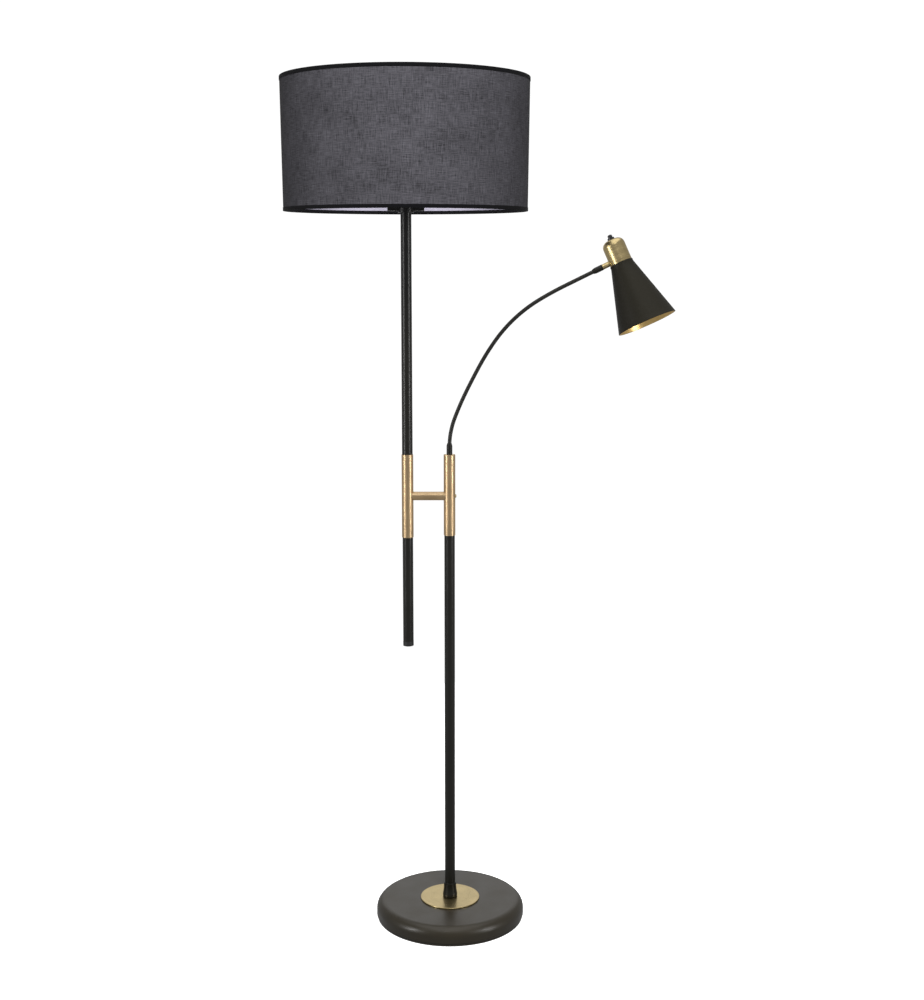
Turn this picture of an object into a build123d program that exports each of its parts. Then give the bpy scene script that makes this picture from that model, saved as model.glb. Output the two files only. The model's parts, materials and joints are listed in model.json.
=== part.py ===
from build123d import *
import os
from math import cos, radians, sin

# A floor lamp on two parallel poles. The right pole stands on a round weighted base and carries a
# flexible reading arm; an H-shaped connector hangs the left pole beside it, with a drum shade on top.
# Millimetres, +Z up, origin on the floor under the right pole. The poles stand side by side along X.

# ---- Driving dimensions ----
lamp_height = 1600.0
shade_height = 236.5
shade_top_radius = 226.0
shade_bottom_radius = 223.0
tube_radius = 10.0
tube_wall = 1.2
pole_spacing = 79.0
sleeve_wall = 0.95
sleeve_top = 916.0
right_sleeve_bottom = 762.0
left_sleeve_bottom = 758.0
bar_height = 837.0
bar_radius = 8.2
tail_bottom = 547.0
base_radius = 144.0
base_top = 36.0
base_shoulder = 18.0
sheet = 1.5
slide_fit = 0.05        # radial clearance between parts that slide into each other
run_fit = 0.06          # radial clearance of a shaft that turns in its bore
seam = 0.15             # gap between the faces of parts that are only laid together

# ---- Reading arm: eight tangent arcs of equal length, bending in the XZ plane ----
neck_radius = 3.65
neck_start = 930.0
link_length = 55.0
link_turns = (20.6, 5.5, 2.5, 7.0, 11.8, 11.6, 4.9, 0.0)
link_gap = 0.9          # from a joint to the end face of each of its two links
head_reach = 54.0       # from the end of the last link to the middle of the head
head_tilt = 23.5        # of the head's axis from the vertical, in the plane of the arm
head_roll = -10.0       # of the head about the end of the arm, mouth towards -Y

left_x = -pole_spacing
pole_top = lamp_height - shade_height - 2.0
tube_bore = tube_radius - tube_wall
sleeve_bore = tube_radius + slide_fit
sleeve_radius = sleeve_bore + sleeve_wall
plug_radius = tube_bore - slide_fit

left_section = Plane((left_x, 0, 0), x_dir=(1, 0, 0), z_dir=(0, -1, 0))
left_axis = Axis((left_x, 0, 0), (0, 0, 1))

pieces = {}


def pole_plane(x, height):
    """The horizontal plane at a height, centred on the pole at x."""
    return Plane((x, 0, height))


# ---- Base ----
nipple_radius = 5.0
nipple_bore = 3.6
pad_thickness = 3.0
pad_radius = 139.0
pad_chamfer = 0.5
skirt_step = 2.0
skirt_bottom = 1.0
step_height = 7.0
weight_radius = 120.0
weight_low = pad_thickness + seam
weight_disc_top = 15.0
weight_boss_radius = 30.0
recess_radius = 16.0
recess_top = 29.0
groove_width = 8.0
groove_top = 10.5
gland_height = 13.2
gland_hole = 3.8
gland_bore = 3.1
gland_flange = 4.6
gland_flange_thickness = 1.4
bush_depth = 20.0
nipple_length = 44.0
nipple_low = 17.0
cover_under = base_top - sheet

# Spun steel cover: flat top, round shoulder, upright wall and a small step in above the floor.
with BuildPart() as base_cover:
    with BuildSketch(Plane.XZ):
        with BuildLine():
            hole = nipple_radius + seam
            flat_edge = base_radius - base_shoulder
            inside = base_radius - sheet
            skirt = base_radius - skirt_step
            Line((hole, base_top), (flat_edge, base_top))
            RadiusArc((flat_edge, base_top), (base_radius, base_top - base_shoulder), base_shoulder)
            Polyline(
                (base_radius, base_top - base_shoulder),
                (base_radius, step_height),
                (skirt, step_height - sheet),
                (skirt, skirt_bottom),
                (skirt - sheet, skirt_bottom),
                (skirt - sheet, step_height),
                (inside, step_height + sheet),
                (inside, base_top - base_shoulder),
            )
            RadiusArc((inside, base_top - base_shoulder), (flat_edge, cover_under), sheet - base_shoulder)
            Polyline((flat_edge, cover_under), (hole, cover_under), (hole, base_top))
        make_face()
    revolve(axis=Axis.Z)
    with BuildSketch(Plane((0, weight_radius, gland_height), x_dir=(1, 0, 0), z_dir=(0, 1, 0))):
        Circle(gland_hole)
    extrude(amount=base_radius, mode=Mode.SUBTRACT)
pieces["base_cover"] = base_cover

# Cast iron weight with a boss up to the cover, a nut recess and a cable groove underneath.
with BuildPart() as base_weight:
    with BuildSketch(Plane.XZ):
        with BuildLine():
            Polyline(
                (nipple_radius + seam, recess_top),
                (recess_radius, recess_top),
                (recess_radius, weight_low),
                (weight_radius, weight_low),
                (weight_radius, weight_disc_top),
                (weight_boss_radius, weight_disc_top),
                (weight_boss_radius, cover_under - seam),
                (nipple_radius + seam, cover_under - seam),
                close=True,
            )
        make_face()
    revolve(axis=Axis.Z)
    with BuildSketch(Plane.XY.offset(weight_low)):
        with Locations((0, weight_radius / 2)):
            Rectangle(groove_width, weight_radius + recess_radius)
    extrude(amount=groove_top - weight_low, mode=Mode.SUBTRACT)
pieces["base_weight"] = base_weight

# Felt pad that closes the underside and stands on the floor.
with BuildPart() as base_pad:
    with BuildSketch(Plane.XY):
        Circle(pad_radius)
    extrude(amount=pad_thickness)
    chamfer(base_pad.edges().sort_by(Axis.Z)[0], pad_chamfer)
pieces["base_pad"] = base_pad

# Rubber gland in the rear wall, where the supply cord comes in.
gland_outer = base_radius + gland_flange_thickness
gland_inner = base_radius - sheet - gland_flange_thickness - seam
gland_seat = base_radius + 0.02
with BuildPart() as cable_gland:
    for start, end, radius in (
        (gland_seat, gland_outer, gland_flange),
        (base_radius - sheet - seam, gland_seat, gland_hole - slide_fit),
        (gland_inner, base_radius - sheet - seam, gland_flange),
    ):
        with BuildSketch(Plane((0, start, gland_height), x_dir=(1, 0, 0), z_dir=(0, 1, 0))):
            Circle(radius)
            Circle(gland_bore, mode=Mode.SUBTRACT)
        extrude(amount=end - start)
pieces["cable_gland"] = cable_gland

# Brass disc laid on the cover round the foot of the pole, on a thin gasket.
gasket_thickness = 0.6
disc_radius = 57.5
disc_thickness = 1.8
disc_edge = 0.7
gasket_inset = 2.5
disc_bottom = base_top + gasket_thickness
disc_top = disc_bottom + disc_thickness
with BuildPart() as disc_gasket:
    with BuildSketch(Plane.XY.offset(base_top)):
        Circle(disc_radius - gasket_inset)
        Circle(nipple_radius + seam, mode=Mode.SUBTRACT)
    extrude(amount=gasket_thickness)
pieces["disc_gasket"] = disc_gasket

with BuildPart() as base_disc:
    with BuildSketch(Plane.XY.offset(disc_bottom)):
        Circle(disc_radius)
        Circle(nipple_radius + seam, mode=Mode.SUBTRACT)
    extrude(amount=disc_thickness)
    fillet(base_disc.edges().group_by(Axis.Z)[-1].sort_by(SortBy.RADIUS)[-1], disc_edge)
pieces["base_disc"] = base_disc

# Bell-shaped collar over the foot of the pole.
collar_height = 29.0
collar_top = disc_top + collar_height
collar_foot = 14.0
collar_neck = 12.0
collar_edge = 1.5
with BuildPart() as pole_collar:
    with BuildSketch(Plane.XZ):
        with BuildLine():
            Polyline(
                (sleeve_bore, disc_top),
                (collar_foot - collar_edge, disc_top),
                (collar_foot, disc_top + collar_edge),
                (collar_foot, disc_top + 0.2 * collar_height),
                (collar_neck + 0.6, disc_top + 0.5 * collar_height),
                (collar_neck, disc_top + 0.75 * collar_height),
                (collar_neck, collar_top),
                (sleeve_bore, collar_top),
                close=True,
            )
        make_face()
    revolve(axis=Axis.Z)
    rims = pole_collar.edges().filter_by(GeomType.CIRCLE).group_by(Axis.Z)[-1]
    fillet(rims.sort_by(SortBy.RADIUS)[-1], collar_edge / 2)
pieces["pole_collar"] = pole_collar

# Nut and washer that pull the base's nipple, and with it the pole, down on disc, cover and weight.
nut_low = 19.0
nut_height = 8.0
nut_across = 8.5
washer_radius = 14.0
washer_thickness = 1.8
with BuildPart() as base_nut:
    with BuildSketch(Plane.XY.offset(nut_low)):
        RegularPolygon(radius=nut_across, side_count=6, major_radius=False)
        Circle(nipple_radius + slide_fit, mode=Mode.SUBTRACT)
    extrude(amount=nut_height)
pieces["base_nut"] = base_nut

with BuildPart() as base_washer:
    with BuildSketch(Plane.XY.offset(nut_low + nut_height)):
        Circle(washer_radius)
        Circle(nipple_radius + seam, mode=Mode.SUBTRACT)
    extrude(amount=washer_thickness)
pieces["base_washer"] = base_washer

# ---- Right pole ----
pole_below_bar = 17.0
right_pole_top = bar_height - pole_below_bar
with BuildPart() as right_pole:
    with BuildSketch(pole_plane(0, disc_top)):
        Circle(tube_radius)
        Circle(tube_bore, mode=Mode.SUBTRACT)
    extrude(amount=right_pole_top - disc_top)
pieces["right_pole"] = right_pole

# Two equal threaded bushes, in the foot of the right pole and in the head of the left one.
with BuildPart() as pole_bushes:
    for place in (pole_plane(0, disc_top), pole_plane(left_x, pole_top - bush_depth)):
        with BuildSketch(place):
            Circle(plug_radius)
            Circle(nipple_radius + slide_fit, mode=Mode.SUBTRACT)
        extrude(amount=bush_depth)
pieces["pole_bushes"] = pole_bushes

# Two equal hollow threaded nipples: one holds the pole to the base, one carries the lampholder.
lamp_nipple_low = pole_top - bush_depth + 1.0    # a thread short of the bush's foot
lamp_nipple_top = lamp_nipple_low + nipple_length
with BuildPart() as threaded_nipples:
    for place in (pole_plane(0, nipple_low), pole_plane(left_x, lamp_nipple_low)):
        with BuildSketch(place):
            Circle(nipple_radius)
            Circle(nipple_bore, mode=Mode.SUBTRACT)
        extrude(amount=nipple_length)
pieces["threaded_nipples"] = threaded_nipples

# ---- H connector ----
window_radius = bar_radius - tube_wall
screw_radius = 1.5
insert_low = -24.0
insert_high = -16.0
cable_offset = 4.3
cable_slot = 2.5
rim_chamfer = 0.3
bar_plane = Plane((left_x, 0, bar_height), x_dir=(0, 1, 0), z_dir=(1, 0, 0))


def sleeve(x, low, window_from, window_length):
    """A brass sleeve round the pole at x, with a window for the crossbar's cable."""
    with BuildPart() as piece:
        with BuildSketch(pole_plane(x, low)):
            Circle(sleeve_radius)
            Circle(sleeve_bore, mode=Mode.SUBTRACT)
        extrude(amount=sleeve_top - low)
        with BuildSketch(bar_plane.offset(window_from)):
            Circle(window_radius)
        extrude(amount=window_length, mode=Mode.SUBTRACT)
        for rim in (-1, 0):
            circles = piece.edges().filter_by(GeomType.CIRCLE).group_by(Axis.Z)[rim]
            chamfer(circles.sort_by(SortBy.RADIUS)[-1], rim_chamfer)
    return piece


left_sleeve = sleeve(left_x, left_sleeve_bottom, 0.0, sleeve_radius + 1)
pieces["left_sleeve"] = left_sleeve

plain_sleeve = sleeve(0, right_sleeve_bottom, pole_spacing - sleeve_radius - 1, sleeve_radius + 1)
with BuildPart() as right_sleeve:
    add(plain_sleeve.part)
    with BuildSketch(bar_plane.offset(pole_spacing)):
        Circle(screw_radius + slide_fit)
    extrude(amount=sleeve_radius + 1, mode=Mode.SUBTRACT)
pieces["right_sleeve"] = right_sleeve

# Crossbar: a tube whose ends are hollowed to sit against the round sleeves.
with BuildPart() as crossbar:
    with BuildSketch(bar_plane):
        Circle(bar_radius)
        Circle(window_radius, mode=Mode.SUBTRACT)
    extrude(amount=pole_spacing)
    with Locations((left_x, 0, bar_height), (0, 0, bar_height)):
        Cylinder(sleeve_radius + slide_fit / 2, 4 * bar_radius, mode=Mode.SUBTRACT)
pieces["crossbar"] = crossbar

with BuildPart() as crossbar_insert:
    with BuildSketch(bar_plane.offset(pole_spacing + insert_low)):
        Circle(window_radius - slide_fit)
        Circle(screw_radius + slide_fit, mode=Mode.SUBTRACT)
    extrude(amount=insert_high - insert_low)
    with BuildSketch(Plane((insert_low, 0, bar_height - cable_offset), x_dir=(0, 1, 0), z_dir=(1, 0, 0))):
        Circle(cable_slot)
        with Locations((0, -cable_slot)):
            Rectangle(2 * cable_slot, 2 * cable_slot)
    extrude(amount=insert_high - insert_low, mode=Mode.SUBTRACT)
pieces["crossbar_insert"] = crossbar_insert

# Pan head screw through the right sleeve that draws the crossbar against it.
head_seat = sleeve_radius + slide_fit
screw_head = 3.2
screw_head_height = 1.9
screw_slot = 0.8
with BuildPart() as crossbar_screw:
    with BuildSketch(bar_plane.offset(pole_spacing + insert_low)):
        Circle(screw_radius)
    extrude(amount=head_seat - insert_low)
    with BuildSketch(bar_plane.offset(pole_spacing + head_seat)):
        Circle(screw_head)
    extrude(amount=screw_head_height)
    fillet(crossbar_screw.edges().sort_by(Axis.X)[-1], screw_head_height / 2 - 0.05)
    with BuildSketch(bar_plane.offset(pole_spacing + head_seat + screw_head_height - screw_slot)):
        Rectangle(screw_slot, 3 * screw_head)
    extrude(amount=2 * screw_slot, mode=Mode.SUBTRACT)
pieces["crossbar_screw"] = crossbar_screw

# Turned plug that closes the right sleeve and carries the reading arm.
plug_depth = 14.0
plug_low = sleeve_top - plug_depth
spigot_radius = 4.0
with BuildPart() as sleeve_plug:
    with BuildSketch(pole_plane(0, plug_low)):
        Circle(tube_radius)
        Circle(spigot_radius + slide_fit, mode=Mode.SUBTRACT)
    extrude(amount=sleeve_top - plug_low)
pieces["sleeve_plug"] = sleeve_plug

# ---- Left pole: an upper tube with the lampholder on top and a plain tail below ----
pole_to_bar = 13.0
upper_pole_low = bar_height + pole_to_bar
tail_top = bar_height - pole_to_bar
cap_height = 9.0
cap_edge = 0.8
cap_plug = 12.0
with BuildPart() as upper_pole:
    with BuildSketch(pole_plane(left_x, upper_pole_low)):
        Circle(tube_radius)
        Circle(tube_bore, mode=Mode.SUBTRACT)
    extrude(amount=pole_top - upper_pole_low)
pieces["upper_pole"] = upper_pole

with BuildPart() as tail_pole:
    with BuildSketch(pole_plane(left_x, tail_bottom + cap_height)):
        Circle(tube_radius)
        Circle(tube_bore, mode=Mode.SUBTRACT)
    extrude(amount=tail_top - tail_bottom - cap_height)
pieces["tail_pole"] = tail_pole

with BuildPart() as tail_cap:
    with BuildSketch(pole_plane(left_x, tail_bottom)):
        Circle(tube_radius + seam)
    extrude(amount=cap_height)
    fillet(tail_cap.edges().group_by(Axis.Z)[0], cap_edge)
    with BuildSketch(pole_plane(left_x, tail_bottom + cap_height)):
        Circle(plug_radius)
    extrude(amount=cap_plug)
pieces["tail_cap"] = tail_cap

# ---- Shade carrier: a slotted hub, a bar through its slot and a wire frame up to the spider ----
hub_radius = 15.0
hub_height = 12.0
hub_top = pole_top + hub_height
bar_half = 33.5
bar_depth = 14.0
bar_thick = 9.0
frame_wire = 1.6
frame_foot = 29.0
frame_bulge = 54.0
frame_top = lamp_height - 33.0
frame_sink = 6.0
frame_bend = 16.0
frame_crown = 26.0
boss_radius = 5.0
boss_rise = 0.6
stud_radius = 2.9
stud_length = 15.0
with BuildPart() as carrier_hub:
    with BuildSketch(pole_plane(left_x, pole_top)):
        Circle(hub_radius)
        Circle(nipple_radius + slide_fit, mode=Mode.SUBTRACT)
    extrude(amount=hub_height)
    with BuildSketch(pole_plane(left_x, hub_top - bar_thick)):
        Rectangle(3 * hub_radius, bar_depth + 2 * slide_fit)
    extrude(amount=bar_thick, mode=Mode.SUBTRACT)
pieces["carrier_hub"] = carrier_hub

with BuildPart() as carrier_bar:
    with BuildSketch(pole_plane(left_x, hub_top - bar_thick)):
        Rectangle(2 * bar_half, bar_depth)
        Circle(nipple_radius + slide_fit, mode=Mode.SUBTRACT)
    extrude(amount=bar_thick)
    with BuildSketch(pole_plane(left_x, hub_top - frame_sink)):
        with Locations((-frame_foot, 0), (frame_foot, 0)):
            Circle(frame_wire + slide_fit)
    extrude(amount=frame_sink, mode=Mode.SUBTRACT)
pieces["carrier_bar"] = carrier_bar

with BuildPart() as shade_frame:
    with BuildLine(left_section) as frame_path:
        half = (
            (frame_foot, hub_top - frame_sink),
            (frame_foot, hub_top + 20.0),
            (frame_bulge, hub_top + 56.0),
            (frame_bulge, frame_top - 62.0),
            (frame_crown, frame_top),
        )
        mirrored = tuple((-x, z) for x, z in reversed(half))
        FilletPolyline(*half, *mirrored, radius=frame_bend)
    with BuildSketch(pole_plane(left_x + frame_foot, hub_top - frame_sink)):
        Circle(frame_wire)
    sweep(path=frame_path.line)
    with BuildSketch(pole_plane(left_x, frame_top - frame_wire)):
        Circle(boss_radius)
    extrude(amount=2 * frame_wire + boss_rise)
    with BuildSketch(pole_plane(left_x, frame_top)):
        Circle(stud_radius)
    extrude(amount=stud_length)
pieces["shade_frame"] = shade_frame
boss_top = frame_top + frame_wire + boss_rise

# ---- Drum shade ----
fabric_thickness = 0.8
liner_thickness = 0.6
tape_thickness = 0.5
tape_height = 6.5
tape_turn = 3.6
wire_radius = 1.5
fabric_low = lamp_height - shade_height + tape_thickness + seam
fabric_high = lamp_height - tape_thickness - seam
fabric_bottom_radius = shade_bottom_radius - tape_thickness - seam
fabric_top_radius = shade_top_radius - tape_thickness - seam
liner_step = fabric_thickness + seam
wire_step = liner_step + liner_thickness + seam + wire_radius


def drum_wall(outer_step, thickness):
    """A thin conical wall, set in from the outside of the fabric by outer_step."""
    with BuildPart() as piece:
        with BuildSketch(left_section):
            with BuildLine():
                low = fabric_bottom_radius - outer_step
                high = fabric_top_radius - outer_step
                Polyline(
                    (low - thickness, fabric_low),
                    (low, fabric_low),
                    (high, fabric_high),
                    (high - thickness, fabric_high),
                    close=True,
                )
            make_face()
        revolve(axis=left_axis)
    return piece


def rim_wire(radius, height):
    """A steel ring that stiffens one rim of the shade."""
    with BuildPart() as piece:
        with BuildSketch(left_section):
            with Locations((radius, height)):
                Circle(wire_radius)
        revolve(axis=left_axis)
    return piece


def rim_tape(outer, edge, up):
    """Binding tape folded over one rim, from outside the fabric to inside the wire. up is 1 or -1."""
    inner = outer - wire_step - wire_radius - 2 * seam - 2 * tape_thickness
    with BuildPart() as piece:
        with BuildSketch(left_section):
            with BuildLine():
                Polyline(
                    (outer, edge),
                    (outer, edge + up * tape_height),
                    (outer - tape_thickness, edge + up * tape_height),
                    (outer - tape_thickness, edge + up * tape_thickness),
                    (inner + tape_thickness, edge + up * tape_thickness),
                    (inner + tape_thickness, edge + up * tape_turn),
                    (inner, edge + up * tape_turn),
                    (inner, edge),
                    close=True,
                )
            make_face()
        revolve(axis=left_axis)
    return piece


bottom_wire_height = fabric_low + wire_radius
top_wire_height = fabric_high - wire_radius
top_wire_radius = fabric_top_radius - wire_step
shade_fabric = drum_wall(0.0, fabric_thickness)
shade_liner = drum_wall(liner_step, liner_thickness)
bottom_wire = rim_wire(fabric_bottom_radius - wire_step, bottom_wire_height)
top_wire = rim_wire(top_wire_radius, top_wire_height)
bottom_tape = rim_tape(shade_bottom_radius + seam, lamp_height - shade_height, 1)
top_tape = rim_tape(shade_top_radius, lamp_height, -1)
pieces["shade_fabric"] = shade_fabric
pieces["shade_liner"] = shade_liner
pieces["bottom_wire"] = bottom_wire
pieces["top_wire"] = top_wire
pieces["bottom_tape"] = bottom_tape
pieces["top_tape"] = top_tape

# Spider: a centre washer with three arms that rise to the top wire.
washer_low = boss_top + slide_fit
washer_high = washer_low + 2.0
spider_washer = 13.0
arm_wire = 1.6
arm_start = 8.0
arm_bend = 14.0
arm_height = (washer_low + washer_high) / 2
arm_top = top_wire_height - wire_radius - arm_wire - 2 * seam
arm_plane = Plane((left_x + arm_start, 0, arm_height), x_dir=(0, 1, 0), z_dir=(1, 0, 0))
with BuildPart() as spider_arm:
    with BuildLine(left_section) as arm_path:
        FilletPolyline(
            (arm_start, arm_height),
            (top_wire_radius - arm_bend - 2.0, arm_height),
            (top_wire_radius, arm_top),
            radius=arm_bend,
        )
    with BuildSketch(arm_plane):
        Circle(arm_wire)
    sweep(path=arm_path.line)

with BuildPart() as shade_spider:
    with BuildSketch(pole_plane(left_x, washer_low)):
        Circle(spider_washer)
        Circle(stud_radius + 2 * slide_fit, mode=Mode.SUBTRACT)
    extrude(amount=washer_high - washer_low)
    for turn in (90, 210, 330):
        add(spider_arm.part.rotate(left_axis, turn))
    with BuildSketch(pole_plane(left_x, washer_low - arm_wire)):
        Circle(stud_radius + 2 * slide_fit)
    extrude(amount=spider_washer, mode=Mode.SUBTRACT)
pieces["shade_spider"] = shade_spider

# Domed finial nut that holds the spider on the frame's stud.
finial_low = washer_high + slide_fit
finial_bore = stud_radius + slide_fit
finial_foot = 7.0
finial_waist = 4.5
finial_knob = 7.5
with BuildPart() as finial:
    with BuildSketch(left_section):
        with BuildLine():
            Polyline(
                (finial_bore, finial_low),
                (finial_foot, finial_low),
                (finial_foot, finial_low + 3.0),
                (finial_waist, finial_low + 4.5),
                (finial_waist, finial_low + 6.0),
                (finial_knob, finial_low + 9.5),
                (finial_knob, finial_low + 12.5),
                (finial_knob / 2, finial_low + 16.5),
                (0.0, finial_low + 17.5),
                (0.0, finial_low + stud_length - 1.0),
                (finial_bore, finial_low + stud_length - 1.0),
                close=True,
            )
        make_face()
    revolve(axis=left_axis)
pieces["finial"] = finial

# ---- Main lampholder and bulb ----
holder_low = hub_top + slide_fit
skirt_low = holder_low + 19.0
skirt_high = skirt_low + 32.0
skirt_radius = 19.5
skirt_wall = 2.5
shoulder_radius = 17.0
floor_radius = 14.0
holder_wall = 3.0
core_low = skirt_low + 1.0
core_high = core_low + 7.0
core_radius = 16.5
contact_radius = 3.0
contact_height = 1.5
shell_radius = 14.4
shell_wall = 0.6
shell_height = 20.0
with BuildPart() as lampholder_cap:
    with BuildSketch(left_section):
        with BuildLine():
            Polyline(
                (nipple_radius + slide_fit, holder_low),
                (floor_radius, holder_low),
                (shoulder_radius, holder_low + holder_wall + 1.0),
                (skirt_radius, skirt_low),
                (skirt_radius - 2.0, skirt_low),
                (shoulder_radius - skirt_wall, holder_low + holder_wall + 2.0),
                (shoulder_radius - skirt_wall, holder_low + holder_wall),
                (nipple_radius + slide_fit, holder_low + holder_wall),
                close=True,
            )
        make_face()
    revolve(axis=left_axis)
pieces["lampholder_cap"] = lampholder_cap

with BuildPart() as lampholder_skirt:
    with BuildSketch(pole_plane(left_x, skirt_low + slide_fit)):
        Circle(skirt_radius)
        Circle(skirt_radius - skirt_wall, mode=Mode.SUBTRACT)
    extrude(amount=skirt_high - skirt_low)
    fillet(lampholder_skirt.edges().group_by(Axis.Z)[-1].sort_by(SortBy.RADIUS)[-1], skirt_wall / 2.5)
pieces["lampholder_skirt"] = lampholder_skirt

with BuildPart() as lampholder_core:
    with BuildSketch(pole_plane(left_x, core_low)):
        Circle(core_radius)
    extrude(amount=core_high - core_low)
    with BuildSketch(pole_plane(left_x, core_high)):
        Circle(contact_radius)
    extrude(amount=contact_height)
pieces["lampholder_core"] = lampholder_core

with BuildPart() as lampholder_shell:
    with BuildSketch(pole_plane(left_x, core_high + seam)):
        Circle(shell_radius)
        Circle(shell_radius - shell_wall, mode=Mode.SUBTRACT)
    extrude(amount=shell_height)
pieces["lampholder_shell"] = lampholder_shell

cap_low = core_high + contact_height + 0.5
cap_top = cap_low + 24.0
cap_radius_main = 13.2
tip_radius = 7.0
tip_height = 4.0
bulb_foot = 13.5
bulb_radius = 30.0
bulb_centre = cap_low + 76.0
with BuildPart() as bulb_cap:
    with BuildSketch(pole_plane(left_x, cap_low)):
        Circle(tip_radius)
    with BuildSketch(pole_plane(left_x, cap_low + tip_height)):
        Circle(cap_radius_main)
    loft()
    with BuildSketch(pole_plane(left_x, cap_low + tip_height)):
        Circle(cap_radius_main)
    extrude(amount=cap_top - cap_low - tip_height)
pieces["bulb_cap"] = bulb_cap

with BuildPart() as bulb_glass:
    with BuildSketch(left_section):
        with BuildLine():
            glass_low = cap_top + slide_fit
            throat = (bulb_foot + 1.0, glass_low + 6.0)
            Line((0, glass_low), (bulb_foot, glass_low))
            Line((bulb_foot, glass_low), throat)
            Spline(
                throat,
                (bulb_radius, bulb_centre),
                tangents=((0.15, 1.0), (0.0, 1.0)),
            )
            RadiusArc((bulb_radius, bulb_centre), (0, bulb_centre + bulb_radius), -bulb_radius)
            Line((0, bulb_centre + bulb_radius), (0, glass_low))
        make_face()
    revolve(axis=left_axis)
pieces["bulb_glass"] = bulb_glass

# ---- Reading arm ----
ferrule_radius = 5.5
ferrule_tip = 4.3
ferrule_taper = 5.0
ferrule_top = sleeve_top + 16.0
wire_bore = 2.6
ferrule_bore = neck_radius + 0.25
neck_low = sleeve_top + 2.0
with BuildPart() as lower_ferrule:
    with BuildSketch(Plane.XZ):
        with BuildLine():
            Polyline(
                (ferrule_bore, neck_low),
                (ferrule_bore, ferrule_top + ferrule_taper),
                (ferrule_tip, ferrule_top + ferrule_taper),
                (ferrule_radius, ferrule_top),
                (ferrule_radius, sleeve_top + slide_fit),
                (spigot_radius, sleeve_top + slide_fit),
                (spigot_radius, plug_low + 2.0),
                (wire_bore, plug_low + 2.0),
                (wire_bore, neck_low),
                close=True,
            )
        make_face()
    revolve(axis=Axis.Z)
pieces["lower_ferrule"] = lower_ferrule


def along_neck(distance):
    """The place on the arm's centreline and its direction there, at a distance along it."""
    x = 0.0
    z = neck_start
    heading = 0.0
    for turn in link_turns:
        step = min(distance, link_length)
        bend = radians(turn) * step / link_length
        chord = step if bend == 0 else 2 * sin(bend / 2) * step / bend
        x += chord * sin(heading + bend / 2)
        z += chord * cos(heading + bend / 2)
        heading += bend
        distance -= step
    return Vector(x, 0, z), Vector(sin(heading), 0, cos(heading))


neck_length = link_length * len(link_turns)
neck_end, arm_axis = along_neck(neck_length)
neck_wall = 1.2
tail_into_ferrule = 6.0


def neck_link(index):
    """One length of the flexible tube, curved with the arm, between the gaps at its two joints."""
    start = index * link_length + (link_gap if index > 0 else 0.0)
    end = (index + 1) * link_length - (link_gap if index < len(link_turns) - 1 else 0.0)
    start_point, start_way = along_neck(start)
    end_point, end_way = along_neck(end)
    first = start_point
    first_way = start_way
    with BuildPart() as piece:
        with BuildLine() as path:
            if index == 0:
                first = Vector(0, 0, neck_low)
                Line(first, start_point)
            if link_turns[index] == 0:
                Line(start_point, end_point)
            else:
                TangentArc(start_point, end_point, tangent=start_way)
            if index == len(link_turns) - 1:
                Line(end_point, end_point + end_way * tail_into_ferrule)
        with BuildSketch(Plane(first, z_dir=first_way)):
            Circle(neck_radius)
            Circle(neck_radius - neck_wall, mode=Mode.SUBTRACT)
        sweep(path=path.line)
    return piece


for index in range(len(link_turns)):
    pieces[f"neck_link_{index + 1}"] = neck_link(index)

# ---- Swivel between the arm and the head, built on the arm's last direction ----
head_middle = neck_end + arm_axis * head_reach
spindle_radius = 3.0
ferrule_length = 19.5
swivel_gap = 0.3
arm_section = Plane(neck_end, x_dir=(0, 1, 0), z_dir=Vector(0, 1, 0).cross(arm_axis))
arm_line = Axis(neck_end, arm_axis)
with BuildPart() as upper_ferrule:
    with BuildSketch(arm_section):
        with BuildLine():
            Polyline(
                (neck_radius + slide_fit, 0.0),
                (ferrule_tip, 0.0),
                (ferrule_radius, ferrule_taper),
                (ferrule_radius, ferrule_length),
                (spindle_radius + run_fit, ferrule_length),
                (spindle_radius + run_fit, tail_into_ferrule + 0.5),
                (neck_radius + slide_fit, tail_into_ferrule + 0.5),
                close=True,
            )
        make_face()
    revolve(axis=arm_line)
pieces["upper_ferrule"] = upper_ferrule

# ---- Head: brass cap, painted cone, lampholder, bulb and switch, on the head's own axis ----
tilt_axis = Vector(sin(radians(head_tilt)), 0, -cos(radians(head_tilt)))
head_axis = tilt_axis.rotate(Axis((0, 0, 0), arm_axis), head_roll)
head_side = (arm_axis - head_axis * arm_axis.dot(head_axis)).normalized()
head_section = Plane(head_middle, x_dir=head_side, z_dir=head_side.cross(head_axis))
head_line = Axis(head_middle, head_axis)
cap_radius = 21.0
cap_wall = 1.2
cap_rim = 7.8
cap_length = 46.0
cap_crown = cap_rim - cap_length
crown_fillet = 12.0
crown_rise = 0.5
cap_hole = 5.2
flat_radius = cap_radius - crown_fillet


def head_plane(height):
    """The plane across the head's axis at a height towards the mouth."""
    return Plane(head_middle + head_axis * height, x_dir=head_side, z_dir=head_axis)


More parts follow.
